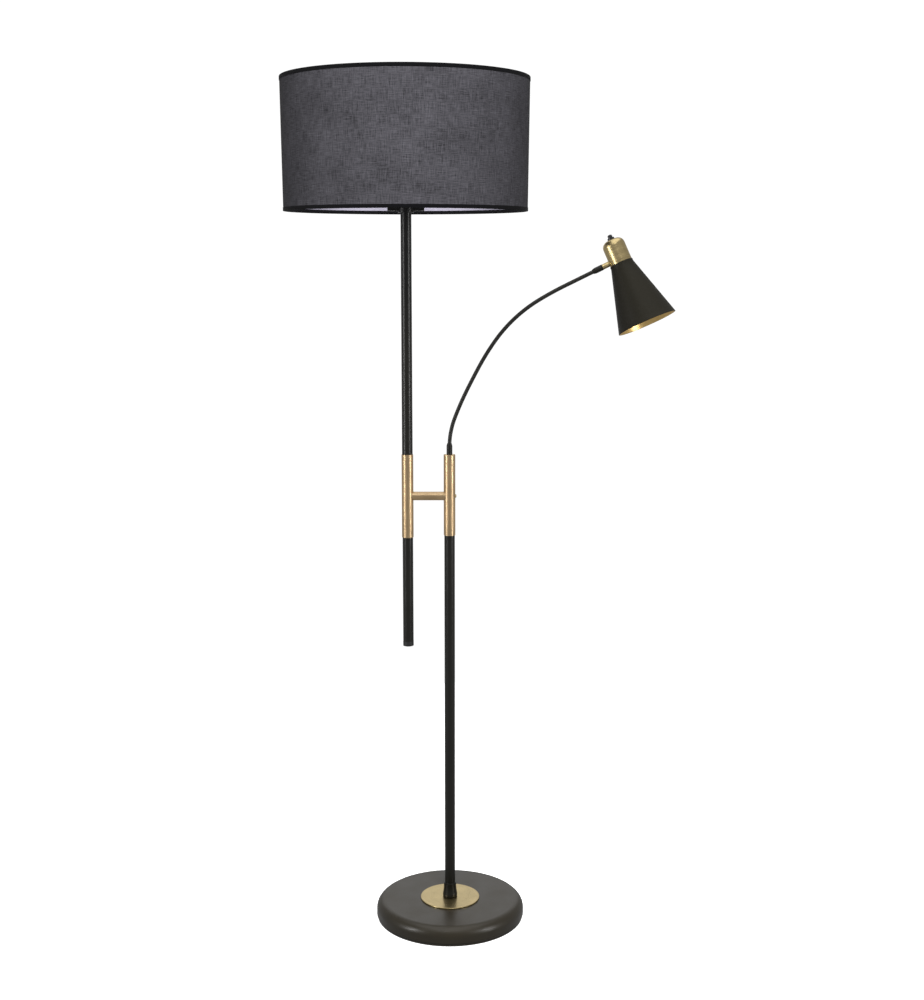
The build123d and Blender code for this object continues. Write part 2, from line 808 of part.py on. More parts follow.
# Swivel collar: a spindle that turns in the ferrule, a collar against the cap and a spigot through it.
collar_start = ferrule_length + swivel_gap
collar_radius = 5.1
collar_into_cap = 2.0
spindle_end_gap = 1.5
spigot_end = head_reach - 15.2
spigot_thread = 3.2
with BuildPart() as swivel_collar:
    with BuildSketch(arm_section):
        with BuildLine():
            Polyline(
                (0, tail_into_ferrule + spindle_end_gap),
                (spindle_radius, tail_into_ferrule + spindle_end_gap),
                (spindle_radius, collar_start),
                (collar_radius, collar_start),
                (collar_radius, head_reach - cap_radius + collar_into_cap),
                (0, head_reach - cap_radius + collar_into_cap),
                close=True,
            )
        make_face()
    revolve(axis=arm_line)
    with BuildSketch(head_plane(-30.0)):
        Circle(cap_radius + seam)
    extrude(amount=60.0, mode=Mode.SUBTRACT)
    with BuildSketch(Plane(neck_end + arm_axis * collar_start, z_dir=arm_axis)):
        Circle(spigot_thread)
    extrude(amount=spigot_end - collar_start)
pieces["swivel_collar"] = swivel_collar

swivel_nut_thickness = 3.0
swivel_nut_across = 9.8
swivel_nut_start = head_reach - 18.7
with BuildPart() as swivel_nut:
    with BuildSketch(Plane(neck_end + arm_axis * swivel_nut_start, z_dir=arm_axis)):
        RegularPolygon(radius=swivel_nut_across / 2, side_count=6, major_radius=False)
        Circle(spigot_thread + slide_fit, mode=Mode.SUBTRACT)
    extrude(amount=swivel_nut_thickness)
pieces["swivel_nut"] = swivel_nut

with BuildPart() as head_cap:
    with BuildSketch(head_section):
        with BuildLine():
            under = cap_crown + cap_wall
            inner_radius = cap_radius - cap_wall
            shoulder = cap_crown + crown_rise + crown_fillet
            Line((cap_hole, cap_crown), (flat_radius, cap_crown + crown_rise))
            RadiusArc((flat_radius, cap_crown + crown_rise), (cap_radius, shoulder), -crown_fillet)
            Polyline(
                (cap_radius, shoulder),
                (cap_radius, cap_rim),
                (inner_radius, cap_rim),
                (inner_radius, shoulder),
            )
            RadiusArc((inner_radius, shoulder), (flat_radius, under + crown_rise), crown_fillet - cap_wall)
            Polyline((flat_radius, under + crown_rise), (cap_hole, under), (cap_hole, cap_crown))
        make_face()
    revolve(axis=head_line)
    with BuildSketch(Plane(neck_end + arm_axis * collar_start, z_dir=arm_axis)):
        Circle(spigot_thread + slide_fit)
    extrude(amount=spigot_end - collar_start, mode=Mode.SUBTRACT)
pieces["head_cap"] = head_cap

# Painted cone with a short neck and an inward flange that the lampholder's ring clamps.
cone_top = cap_rim + slide_fit
cone_neck_radius = 22.0
cone_neck = 5.0
cone_wall = 0.9
mouth_radius = 56.0
mouth_height = cap_rim + 121.0
holder_radius = 13.0
with BuildPart() as cone_shade:
    with BuildSketch(head_section):
        with BuildLine():
            Polyline(
                (holder_radius + 0.2, cone_top),
                (cone_neck_radius, cone_top),
                (cone_neck_radius, cone_top + cone_neck),
                (mouth_radius, mouth_height),
                (mouth_radius - cone_wall, mouth_height),
                (cone_neck_radius - cone_wall, cone_top + cone_neck),
                (cone_neck_radius - cone_wall, cone_top + cone_wall),
                (holder_radius + 0.2, cone_top + cone_wall),
                close=True,
            )
        make_face()
    revolve(axis=head_line)
pieces["cone_shade"] = cone_shade

with BuildPart() as reading_lampholder:
    with BuildSketch(head_section):
        with BuildLine():
            Polyline(
                (0, -9.0),
                (10.0, -9.0),
                (holder_radius, -6.0),
                (holder_radius, cone_top - 3.0),
                (15.0, cone_top - 3.0),
                (15.0, cone_top - slide_fit),
                (holder_radius, cone_top - slide_fit),
                (holder_radius, 26.0),
                (7.4, 26.0),
                (7.4, 2.0),
                (0, 2.0),
                close=True,
            )
        make_face()
    revolve(axis=head_line)
pieces["reading_lampholder"] = reading_lampholder

with BuildPart() as holder_ring:
    with BuildSketch(head_plane(cone_top + cone_wall + slide_fit)):
        Circle(18.0)
        Circle(holder_radius + slide_fit, mode=Mode.SUBTRACT)
    extrude(amount=4.0)
pieces["holder_ring"] = holder_ring

with BuildPart() as reading_bulb_cap:
    with BuildSketch(head_plane(3.0)):
        Circle(7.0)
    extrude(amount=24.0)
pieces["reading_bulb_cap"] = reading_bulb_cap

globe_radius = 22.5
globe_centre = 59.0
with BuildPart() as reading_bulb_glass:
    with BuildSketch(head_section):
        with BuildLine():
            globe_low = 27.0 + slide_fit
            Line((0, globe_low), (8.0, globe_low))
            Spline((8.0, globe_low), (globe_radius, globe_centre), tangents=((0.1, 1.0), (0.0, 1.0)))
            RadiusArc((globe_radius, globe_centre), (0, globe_centre + globe_radius), -globe_radius)
            Line((0, globe_centre + globe_radius), (0, globe_low))
        make_face()
    revolve(axis=head_line)
pieces["reading_bulb_glass"] = reading_bulb_glass

# Push switch through the crown of the cap: body inside, ring nut outside, domed button.
switch_nut_low = cap_crown - 3.2
button_radius = 4.4
switch_seat = cap_crown + cap_wall + 0.8
with BuildPart() as switch_body:
    with BuildSketch(head_plane(switch_seat)):
        Rectangle(15.0, 13.0)
    extrude(amount=18.0)
    with BuildSketch(head_plane(switch_nut_low)):
        Circle(cap_hole - 0.1)
        Circle(button_radius + run_fit, mode=Mode.SUBTRACT)
    extrude(amount=switch_seat - switch_nut_low)
pieces["switch_body"] = switch_body

with BuildPart() as switch_nut:
    with BuildSketch(head_plane(switch_nut_low)):
        Circle(6.6)
        Circle(cap_hole - 0.1 + slide_fit, mode=Mode.SUBTRACT)
    extrude(amount=3.0)
pieces["switch_nut"] = switch_nut

with BuildPart() as switch_button:
    with BuildSketch(head_plane(cap_crown - 9.6)):
        Circle(button_radius)
    extrude(amount=9.6 + switch_nut_low - cap_crown + 1.6)
    fillet(switch_button.faces().sort_by(Axis(head_middle, head_axis))[0].edges(), 2.8)
pieces["switch_button"] = switch_button

# ---- Supply cable held inside the lamp, from the gland to the main lampholder ----
cable_radius = 2.4
cable_low = 7.0
cable_turn = 9.0
crossing = bar_height - cable_offset
with BuildPart() as supply_cable:
    with BuildLine() as cable_path:
        FilletPolyline(
            (0, base_radius - sheet - 2.0, gland_height),
            (0, weight_radius + 14.0, gland_height - 0.4),
            (0, weight_radius - 2.0, cable_low),
            (0, 0, cable_low),
            (0, 0, crossing),
            (left_x, 0, crossing),
            (left_x, 0, lamp_nipple_top + 2.0),
            radius=(16.0, 16.0, cable_turn, cable_turn, cable_turn),
        )
    with BuildSketch(Plane((0, base_radius - sheet - 2.0, gland_height), z_dir=cable_path.line % 0)):
        Circle(cable_radius)
    sweep(path=cable_path.line)
pieces["supply_cable"] = supply_cable

# ---- Write one file per piece ----
os.makedirs("parts", exist_ok=True)
for name, piece in pieces.items():
    piece.part.label = name
    export_step(piece.part, f"parts/{name}.step")
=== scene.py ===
"""A floor lamp with a drum shade and a bending reading arm, built round its fixed frame of parts.

Lengths are in metres, +Z is up, and the origin is on the floor under the right pole.
"""

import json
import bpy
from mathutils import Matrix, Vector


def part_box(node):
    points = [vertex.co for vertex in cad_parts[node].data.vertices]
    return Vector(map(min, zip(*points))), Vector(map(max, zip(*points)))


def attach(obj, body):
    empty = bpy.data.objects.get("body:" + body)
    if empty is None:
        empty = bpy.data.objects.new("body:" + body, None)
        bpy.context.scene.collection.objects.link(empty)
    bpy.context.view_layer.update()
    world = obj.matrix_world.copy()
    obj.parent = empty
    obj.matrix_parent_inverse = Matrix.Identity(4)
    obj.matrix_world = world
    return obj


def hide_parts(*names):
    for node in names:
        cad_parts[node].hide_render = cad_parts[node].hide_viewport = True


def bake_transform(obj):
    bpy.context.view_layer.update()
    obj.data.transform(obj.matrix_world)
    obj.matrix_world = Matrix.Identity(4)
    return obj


bl_info = {
    "name": "Floor Lamp with Reading Arm",
    "version": (1, 0, 0),
    "blender": (4, 5, 0),
    "location": "3D View > Sidebar > Floor Lamp",
    "description": "Makes the shade, the bending arm, the cone and the bulb caps, and finishes every part",
    "category": "Object",
}

from math import atan2, cos, pi, radians, sin

import bpy
from bpy.props import FloatProperty, FloatVectorProperty, IntProperty, PointerProperty
from mathutils import Matrix, Vector

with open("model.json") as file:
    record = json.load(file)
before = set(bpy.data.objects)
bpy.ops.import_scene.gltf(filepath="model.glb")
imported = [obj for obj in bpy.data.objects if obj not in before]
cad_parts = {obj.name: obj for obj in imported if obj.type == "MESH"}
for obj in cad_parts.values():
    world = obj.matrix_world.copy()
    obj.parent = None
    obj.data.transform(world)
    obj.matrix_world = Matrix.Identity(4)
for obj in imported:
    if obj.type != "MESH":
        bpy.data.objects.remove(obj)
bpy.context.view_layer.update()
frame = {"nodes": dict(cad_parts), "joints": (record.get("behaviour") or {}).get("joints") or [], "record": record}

MM = 0.001
NEAR = 0.1 * MM  # closer than this is the same place


def linear(code):
    """A colour written as a hex code, in the linear values that a shader takes."""
    levels = [int(code[start : start + 2], 16) / 255 for start in (1, 3, 5)]
    return tuple(v / 12.92 if v <= 0.04045 else ((v + 0.055) / 1.055) ** 2.4 for v in levels)


def joint(name):
    """The frame's joint of that name."""
    return next(item for item in frame["joints"] if item["name"] == name)


def middle(node):
    """The middle of a part's box."""
    low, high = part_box(node)
    return (low + high) / 2


def radius_of(node):
    """The radius of a round upright part."""
    low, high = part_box(node)
    return (high.y - low.y) / 2


# ---- Places that the pieces are built from ----
SHADE_AXIS = Vector((middle("upper_pole").x, 0, 0))
HEAD_MIDDLE = Vector(joint("head_swivel")["pos_m"])
ARM_WAY = Vector(joint("head_swivel")["axis"])
MOUTH_WAY = Vector(joint("switch_press")["axis"]).normalized()


def head_matrix():
    """From a piece built upright at the origin, mouth towards +Z, to its place in the reading head."""
    side = (ARM_WAY - MOUTH_WAY * ARM_WAY.dot(MOUTH_WAY)).normalized()
    turn = Matrix((side, MOUTH_WAY.cross(side), MOUTH_WAY)).transposed()
    return Matrix.Translation(HEAD_MIDDLE) @ turn.to_4x4()


HEAD = head_matrix()


# ---- Settings shown in the sidebar ----
class LampSizes(bpy.types.PropertyGroup):
    fabric_thickness: FloatProperty(
        name="Fabric thickness",
        description="Of the laminated shade fabric",
        default=0.8 * MM,
        unit="LENGTH",
    )
    fabric_lap: FloatProperty(
        name="Fabric lap",
        description="Overlap of the glued seam at the back",
        default=9 * MM,
        unit="LENGTH",
    )
    fabric_seam: FloatProperty(
        name="Fabric edge gap",
        description="Between fabric and binding tape",
        default=0.65 * MM,
        unit="LENGTH",
    )
    tape_thickness: FloatProperty(
        name="Tape thickness", description="Of the binding tape", default=0.5 * MM, unit="LENGTH"
    )
    tape_wire: FloatProperty(
        name="Rim wire place",
        description="From the tape's outside in to the rim wire",
        default=3.85 * MM,
        unit="LENGTH",
    )
    arm_radius: FloatProperty(
        name="Arm radius", description="Of the bending arm", default=3.65 * MM, unit="LENGTH"
    )
    arm_start: FloatProperty(
        name="Arm start", description="Height at which the first bend begins", default=0.930, unit="LENGTH"
    )
    link_length: FloatProperty(
        name="Link length", description="Of each of the arm's eight arcs", default=55 * MM, unit="LENGTH"
    )
    link_turns: FloatVectorProperty(
        name="Link turns",
        description="How far each arc of the arm turns, in degrees",
        size=8,
        default=(20.6, 5.5, 2.5, 7.0, 11.8, 11.6, 4.9, 0.0),
    )
    cone_neck: FloatProperty(
        name="Cone neck radius",
        description="Of the cone where it meets the cap",
        default=22 * MM,
        unit="LENGTH",
    )
    cone_mouth: FloatProperty(
        name="Cone mouth radius", description="Of the cone at its mouth", default=56 * MM, unit="LENGTH"
    )
    cone_wall: FloatProperty(
        name="Cone wall", description="Sheet thickness of the cone", default=0.9 * MM, unit="LENGTH"
    )
    rim_bead: FloatProperty(
        name="Mouth bead",
        description="Radius of the rolled edge at the mouth",
        default=0.9 * MM,
        unit="LENGTH",
    )
    shade_sides: IntProperty(
        name="Shade sides", description="Faces round the drum shade", default=240, min=48
    )


class LampColours(bpy.types.PropertyGroup):
    paint: FloatVectorProperty(
        name="Pole paint", description="Satin black of the tubes", subtype="COLOR", default=linear("#0f0e0a")
    )
    base: FloatVectorProperty(
        name="Base paint", description="Bronze black of the base", subtype="COLOR", default=linear("#221d12")
    )
    cone: FloatVectorProperty(
        name="Cone paint", description="Matt black of the cone", subtype="COLOR", default=linear("#15130c")
    )
    brass: FloatVectorProperty(
        name="Brass", description="Brushed antique brass", subtype="COLOR", default=linear("#c8ad87")
    )
    pale_brass: FloatVectorProperty(
        name="Pale brass", description="Of the disc and the cap", subtype="COLOR", default=linear("#c2af80")
    )
    gold: FloatVectorProperty(
        name="Gold lining", description="Inside of the cone", subtype="COLOR", default=linear("#d9b878")
    )
    fabric: FloatVectorProperty(
        name="Fabric", description="Charcoal of the drum shade", subtype="COLOR", default=linear("#3a393d")
    )
    tape: FloatVectorProperty(
        name="Tape", description="Black of the binding tape", subtype="COLOR", default=linear("#070709")
    )
    # The liner colour is painted shade: pale lavender styrene darkened to the grey it shows inside the drum.
    liner_painted_shade: FloatVectorProperty(
        name="Liner", description="Pale inside of the drum shade", subtype="COLOR", default=linear("#a5a1b0")
    )


# ---- Modelling by hand ----
def set_down():
    """Nothing is selected before a new piece is begun."""
    if bpy.context.mode != "OBJECT":
        bpy.ops.object.mode_set(mode="OBJECT")
    bpy.ops.object.select_all(action="DESELECT")


def hold(piece):
    """Selects one piece and makes it the active one."""
    set_down()
    piece.select_set(True)
    bpy.context.view_layer.objects.active = piece


def turned(name, stations, sides):
    """A ring at the first (radius, height) station, extruded and scaled to each station after it."""
    set_down()
    radius, height = stations[0]
    bpy.ops.mesh.primitive_circle_add(vertices=sides, radius=radius, location=(0, 0, height))
    piece = bpy.context.object
    piece.name = name
    bpy.ops.object.mode_set(mode="EDIT")
    bpy.ops.mesh.select_all(action="SELECT")
    for next_radius, next_height in stations[1:]:
        bpy.ops.mesh.extrude_region_move(TRANSFORM_OT_translate={"value": (0, 0, next_height - height)})
        share = next_radius / radius
        bpy.ops.transform.resize(value=(share, share, 1), center_override=(0, 0, next_height))
        radius, height = next_radius, next_height
    bpy.ops.object.mode_set(mode="OBJECT")
    bpy.ops.object.transform_apply(location=True, rotation=True, scale=True)
    return piece


def pick_edges(piece, wanted):
    """Goes into edit mode with only the wanted edges of a piece selected."""
    bpy.ops.object.mode_set(mode="EDIT")
    bpy.ops.mesh.select_mode(type="EDGE")
    bpy.ops.mesh.select_all(action="DESELECT")
    bpy.ops.object.mode_set(mode="OBJECT")
    for edge in piece.data.edges:
        edge.select = wanted(edge)
    bpy.ops.object.mode_set(mode="EDIT")


def on_open_edges(piece, close, **settings):
    """Selects the open edges of a piece and closes them with an operator."""
    hold(piece)
    bpy.ops.object.mode_set(mode="EDIT")
    bpy.ops.mesh.select_mode(type="EDGE")
    bpy.ops.mesh.select_all(action="DESELECT")
    bpy.ops.mesh.select_non_manifold()
    close(**settings)
    bpy.ops.object.mode_set(mode="OBJECT")


def face_out(piece):
    """Turns every face outward."""
    hold(piece)
    bpy.ops.object.mode_set(mode="EDIT")
    bpy.ops.mesh.select_all(action="SELECT")
    bpy.ops.mesh.normals_make_consistent(inside=False)
    bpy.ops.object.mode_set(mode="OBJECT")


def smooth(piece, corner=35):
    """Shades a piece smooth, with a crease where it turns by more than corner degrees."""
    hold(piece)
    bpy.ops.object.shade_smooth_by_angle(angle=radians(corner))


def thicken(piece, thickness):
    """Gives a sheet its thickness, inward from the side that faces out."""
    hold(piece)
    solid = piece.modifiers.new("thickness", "SOLIDIFY")
    solid.thickness = thickness
    solid.offset = -1
    solid.use_even_offset = True
    bpy.ops.object.modifier_apply(modifier=solid.name)


def put(piece, place):
    """Moves a piece's mesh to its place and leaves the object at the origin."""
    hold(piece)
    piece.matrix_world = place
    bpy.ops.object.transform_apply(location=True, rotation=True, scale=True)


def wrap(piece, radius, heights=None):
    """UV in metres: u round the Z axis with its join at the back, v up it or along the given outline."""
    mesh = piece.data
    layer = mesh.uv_layers.new(name="wrap")
    for face in mesh.polygons:
        facing = atan2(face.center.x, -face.center.y)
        for corner in face.loop_indices:
            vertex = mesh.vertices[mesh.loops[corner].vertex_index]
            turn = atan2(vertex.co.x, -vertex.co.y)
            turn += 2 * pi * round((facing - turn) / (2 * pi))
            height = vertex.co.z if heights is None else heights[vertex.index]
            layer.data[corner].uv = (turn * radius, height)


def run_lengths(stations, sides):
    """For each vertex of a turned piece, how far along its outline it lies."""
    lengths = [0.0]
    for (radius, height), (next_radius, next_height) in zip(stations, stations[1:]):
        lengths.append(lengths[-1] + Vector((next_radius - radius, next_height - height)).length)
    return [length for length in lengths for _ in range(sides)]


def wear(piece, *finishes):
    """Gives a piece its materials, the first on every face."""
    piece.data.materials.clear()
    for finish in finishes:
        piece.data.materials.append(finish)


# ---- Materials ----
def add_node(tree, kind, inputs=None, **settings):
    """One node, with its settings and its inputs given as values or as other nodes' outputs."""
    node = tree.nodes.new("ShaderNode" + kind)
    for name, value in settings.items():
        setattr(node, name, value)
    for name, value in (inputs or {}).items():
        socket = node.inputs[name]
        if isinstance(value, bpy.types.NodeSocket):
            tree.links.new(value, socket)
        else:
            socket.default_value = value
    return node


def new_finish(name, **constants):
    """A material with one shader, its constants on the shader's own sockets."""
    finish = bpy.data.materials.new(name)
    finish.use_nodes = True
    tree = finish.node_tree
    tree.nodes.clear()
    shader = add_node(tree, "BsdfPrincipled", constants)
    add_node(tree, "OutputMaterial", {"Surface": shader.outputs["BSDF"]})
    return finish, tree, shader


def place_of(tree, scale=(1, 1, 1), into=None):
    """Object coordinates, stretched by scale, or first turned into a piece's own upright frame."""
    point = add_node(tree, "TexCoord").outputs["Object"]
    if into is not None:
        back = into.inverted()
        turn = {"Vector": point, "Location": back.to_translation(), "Rotation": back.to_euler()}
        point = add_node(tree, "Mapping", turn).outputs["Vector"]
    return add_node(tree, "Mapping", {"Vector": point, "Scale": scale}).outputs["Vector"]


def grain(tree, point, size, detail=2.0, roughness=0.5):
    """Soft noise whose spots are about size metres across, from 0 to 1."""
    inputs = {"Vector": point, "Scale": 1 / size, "Detail": detail, "Roughness": roughness}
    return add_node(tree, "TexNoise", inputs).outputs["Fac"]


def math(tree, operation, first, second=0.0):
    """The result of one sum on two values."""
    node = add_node(tree, "Math", operation=operation)
    for socket, value in zip(node.inputs, (first, second)):
        if isinstance(value, bpy.types.NodeSocket):
            tree.links.new(value, socket)
        else:
            socket.default_value = value
    return node.outputs[0]


def between(tree, factor, low, high, start=0.3, end=0.7):
    """A value that goes from low to high as factor goes from start to end."""
    inputs = {"Value": factor, "From Min": start, "From Max": end, "To Min": low, "To Max": high}
    return add_node(tree, "MapRange", inputs).outputs["Result"]


def shades(tree, factor, colour, dark, light, start=0.3, end=0.7):
    """The colour made darker to lighter, by these shares, as factor goes from start to end."""
    ramp = add_node(tree, "ValToRGB", {"Fac": factor})
    for element, at, share in zip(ramp.color_ramp.elements, (start, end), (dark, light)):
        element.position = at
        element.color = (*(min(level * share, 1.0) for level in colour), 1)
    return ramp.outputs["Color"]


def relief(tree, height, depth, strength=1.0, under=None):
    """A normal from a height between 0 and 1, depth metres deep, over an earlier one."""
    inputs = {"Height": height, "Distance": depth, "Strength": strength}
    if under is not None:
        inputs["Normal"] = under
    return add_node(tree, "Bump", inputs).outputs["Normal"]


def connect(tree, shader, **inputs):
    """Links outputs to the shader: colour, rough and normal."""
    sockets = {"colour": "Base Color", "rough": "Roughness", "normal": "Normal"}
    for name, output in inputs.items():
        tree.links.new(output, shader.inputs[sockets[name]])


def powder_paint(name, colour, rough, peel=1.4 * MM, depth=0.02 * MM, spread=0.1, shine=0.32):
    """Baked powder coat: a faint orange peel, and gloss that wanders a little with handling."""
    finish, tree, shader = new_finish(name, **{"Specular IOR Level": shine})
    clouds = grain(tree, place_of(tree), 45 * MM, 4.0)
    skin = grain(tree, place_of(tree), peel, 2.0)
    dust = grain(tree, place_of(tree), 0.35 * MM, 1.0)
    handled = between(tree, clouds, rough - 0.04, rough + 0.04)
    dusty = between(tree, dust, -0.03, 0.03)
    connect(
        tree,
        shader,
        colour=shades(tree, clouds, colour, 1 - spread, 1 + spread),
        rough=math(tree, "ADD", handled, dusty),
        normal=relief(tree, skin, depth),
    )
    return finish


def brushed_brass(name, colour, stretch, rough=0.34, into=None, depth=0.006 * MM):
    """Lacquered brass with a fine brush grain: stretch is the grain's shape along X, Y and Z."""
    finish, tree, shader = new_finish(name, Metallic=1.0)
    lines = grain(tree, place_of(tree, stretch, into), 0.45 * MM, 3.0, 0.65)
    bands = grain(tree, place_of(tree, stretch, into), 2.6 * MM, 2.0)
    tarnish = grain(tree, place_of(tree), 30 * MM, 4.0)
    mixed = math(tree, "MULTIPLY", math(tree, "ADD", lines, bands), 0.5)
    tone = math(tree, "ADD", math(tree, "MULTIPLY", mixed, 0.7), math(tree, "MULTIPLY", tarnish, 0.3))
    connect(
        tree,
        shader,
        colour=shades(tree, tone, colour, 0.78, 1.12, 0.35, 0.65),
        rough=between(tree, mixed, rough - 0.06, rough + 0.08),
        normal=relief(tree, mixed, depth),
    )
    return finish


def turned_brass(name, colour, centre, rough=0.3):
    """Brass faced on a lathe: fine rings round an upright axis."""
    finish, tree, shader = new_finish(name, Metallic=1.0)
    point = add_node(tree, "TexCoord").outputs["Object"]
    shift = (-centre.x, -centre.y, 0)
    level = {"Vector": point, "Location": shift, "Scale": (1, 1, 0)}
    flat = add_node(tree, "Mapping", level).outputs["Vector"]
    reach = add_node(tree, "VectorMath", {0: flat}, operation="LENGTH").outputs["Value"]
    cuts = {"W": reach, "Scale": 1 / (0.5 * MM), "Detail": 3.0}
    rings = add_node(tree, "TexNoise", cuts, noise_dimensions="1D")
    tarnish = grain(tree, place_of(tree), 26 * MM, 4.0)
    lines = rings.outputs["Fac"]
    tone = math(tree, "MULTIPLY", math(tree, "ADD", lines, tarnish), 0.5)
    connect(
        tree,
        shader,
        colour=shades(tree, tone, colour, 0.8, 1.1, 0.35, 0.65),
        rough=between(tree, lines, rough - 0.05, rough + 0.07),
        normal=relief(tree, lines, 0.012 * MM),
    )
    return finish


def moulded(name, colour, rough, size=0.6 * MM, depth=0.015 * MM, **constants):
    """Moulded plastic, rubber or glazed ware: a fine even skin with slight mottling."""
    finish, tree, shader = new_finish(name, **constants)
    skin = grain(tree, place_of(tree), size, 2.0)
    clouds = grain(tree, place_of(tree), 12 * MM, 3.0)
    connect(
        tree,
        shader,
        colour=shades(tree, clouds, colour, 0.9, 1.1),
        rough=between(tree, clouds, rough - 0.05, rough + 0.05),
        normal=relief(tree, skin, depth),
    )
    return finish


def bare_metal(name, colour, rough, size=0.8 * MM, **constants):
    """Plated or rolled metal with small scratches and spots."""
    finish, tree, shader = new_finish(name, Metallic=1.0, **constants)
    spots = grain(tree, place_of(tree), size, 3.0)
    scratches = grain(tree, place_of(tree, (1, 1, 12)), 3 * MM, 3.0)
    tone = math(tree, "MULTIPLY", math(tree, "ADD", spots, scratches), 0.5)
    connect(
        tree,
        shader,
        colour=shades(tree, tone, colour, 0.82, 1.1, 0.35, 0.65),
        rough=between(tree, tone, rough - 0.06, rough + 0.1),
        normal=relief(tree, scratches, 0.01 * MM),
    )
    return finish


def wrap_parts(tree):
    """The two directions of a piece's own UV, in metres."""
    uv = add_node(tree, "UVMap", uv_map="wrap").outputs["UV"]
    parts = add_node(tree, "SeparateXYZ", {"Vector": uv})
    return uv, parts.outputs["X"], parts.outputs["Y"]


def ribs(tree, along, pitch):
    """Even ribs, one every pitch metres, from -1 to 1."""
    return math(tree, "SINE", math(tree, "MULTIPLY", along, 2 * pi / pitch))


def slub_fabric(colour):
    """Plain woven linen-look polyester: uneven warp and weft threads that thicken here and there."""
    finish, tree, shader = new_finish("slub_fabric", **{"Specular IOR Level": 0.15})
    uv, across, up = wrap_parts(tree)
    stretch_warp = add_node(tree, "Mapping", {"Vector": uv, "Scale": (1, 0.06, 1)}).outputs["Vector"]
    stretch_weft = add_node(tree, "Mapping", {"Vector": uv, "Scale": (0.06, 1, 1)}).outputs["Vector"]
    warp = grain(tree, stretch_warp, 1.3 * MM, 4.0, 0.75)
    weft = grain(tree, stretch_weft, 1.2 * MM, 4.0, 0.75)
    fibre = grain(tree, uv, 0.25 * MM, 2.0)
    cloth = grain(tree, uv, 60 * MM, 3.0)
    weave = math(tree, "MULTIPLY", ribs(tree, across, 1.1 * MM), ribs(tree, up, 1.1 * MM))
    threads = math(tree, "ADD", warp, weft)
    slubs = math(tree, "MULTIPLY", threads, 0.5)
    tone = math(tree, "ADD", math(tree, "MULTIPLY", slubs, 0.75), math(tree, "MULTIPLY", fibre, 0.15))
    tone = math(tree, "ADD", tone, math(tree, "MULTIPLY", cloth, 0.10))
    height = math(tree, "ADD", math(tree, "MULTIPLY", weave, 0.3), threads)
    connect(
        tree,
        shader,
        colour=shades(tree, tone, colour, 0.2, 2.2, 0.4, 0.61),
        rough=between(tree, slubs, 0.75, 0.9),
        normal=relief(tree, height, 0.16 * MM, 0.8),
    )
    return finish


def binding_tape(colour):
    """Black woven binding tape: fine ribs across it, matt."""
    finish, tree, shader = new_finish("binding_tape", **{"Specular IOR Level": 0.15})
    uv, across, up = wrap_parts(tree)
    rib = ribs(tree, across, 0.8 * MM)
    wale = ribs(tree, up, 0.45 * MM)
    fibre = grain(tree, uv, 0.3 * MM, 2.0)
    height = math(tree, "ADD", math(tree, "MULTIPLY", rib, 0.5), math(tree, "MULTIPLY", wale, 0.2))
    connect(
        tree,
        shader,
        colour=shades(tree, fibre, colour, 0.6, 1.5),
        rough=between(tree, fibre, 0.7, 0.85),
        normal=relief(tree, height, 0.06 * MM, 0.8),
    )
    return finish


def arm_sleeve(colour):
    """Satin black sleeve shrunk over a wound tube, whose turns show through faintly."""
    finish, tree, shader = new_finish("arm_sleeve", **{"Specular IOR Level": 0.45})
    uv, across, along = wrap_parts(tree)
    helix = math(tree, "ADD", along, math(tree, "MULTIPLY", across, 0.08))
    winding = ribs(tree, helix, 1.9 * MM)
    skin = grain(tree, uv, 0.5 * MM, 2.0)
    clouds = grain(tree, uv, 14 * MM, 3.0)
    height = math(tree, "ADD", math(tree, "MULTIPLY", winding, 0.5), math(tree, "MULTIPLY", skin, 0.3))
    connect(
        tree,
        shader,
        colour=shades(tree, clouds, colour, 0.85, 1.2),
        rough=between(tree, clouds, 0.34, 0.44),
        normal=relief(tree, height, 0.015 * MM, 0.7),
    )
    return finish


def gold_lining(colour):
    """Spun and gold-lacquered inside of the cone: soft rings round the head's axis."""
    finish, tree, shader = new_finish("gold_lining", Metallic=1.0)
    rings = grain(tree, place_of(tree, (0.04, 0.04, 1), HEAD), 1.2 * MM, 3.0)
    clouds = grain(tree, place_of(tree), 18 * MM, 3.0)
    connect(
        tree,
        shader,
        colour=shades(tree, clouds, colour, 0.88, 1.08),
        rough=between(tree, rings, 0.28, 0.38),
        normal=relief(tree, rings, 0.015 * MM),
    )
    return finish


def felt(colour):
    """Pressed felt: short fibres lying every way."""
    constants = {"Roughness": 0.95, "Sheen Weight": 0.4, "Specular IOR Level": 0.2}
    finish, tree, shader = new_finish("felt", **constants)
    lint = grain(tree, place_of(tree, (1, 6, 1)), 1.1 * MM, 4.0)
    cross = grain(tree, place_of(tree, (6, 1, 1)), 1.1 * MM, 4.0)
    nap = math(tree, "MULTIPLY", math(tree, "ADD", lint, cross), 0.5)
    fibres = shades(tree, nap, colour, 0.6, 1.5)
    connect(tree, shader, colour=fibres, normal=relief(tree, nap, 0.25 * MM))
    return finish


def rough_casting(colour):
    """Sand-cast iron under a thin black wash: coarse pitted skin."""
    finish, tree, shader = new_finish("rough_casting", Metallic=0.6)
    pits = grain(tree, place_of(tree), 1.8 * MM, 6.0, 0.65)
    clouds = grain(tree, place_of(tree), 25 * MM, 3.0)
    connect(
        tree,
        shader,
        colour=shades(tree, clouds, colour, 0.7, 1.25),
        rough=between(tree, pits, 0.55, 0.8),
        normal=relief(tree, pits, 0.35 * MM),
    )
    return finish


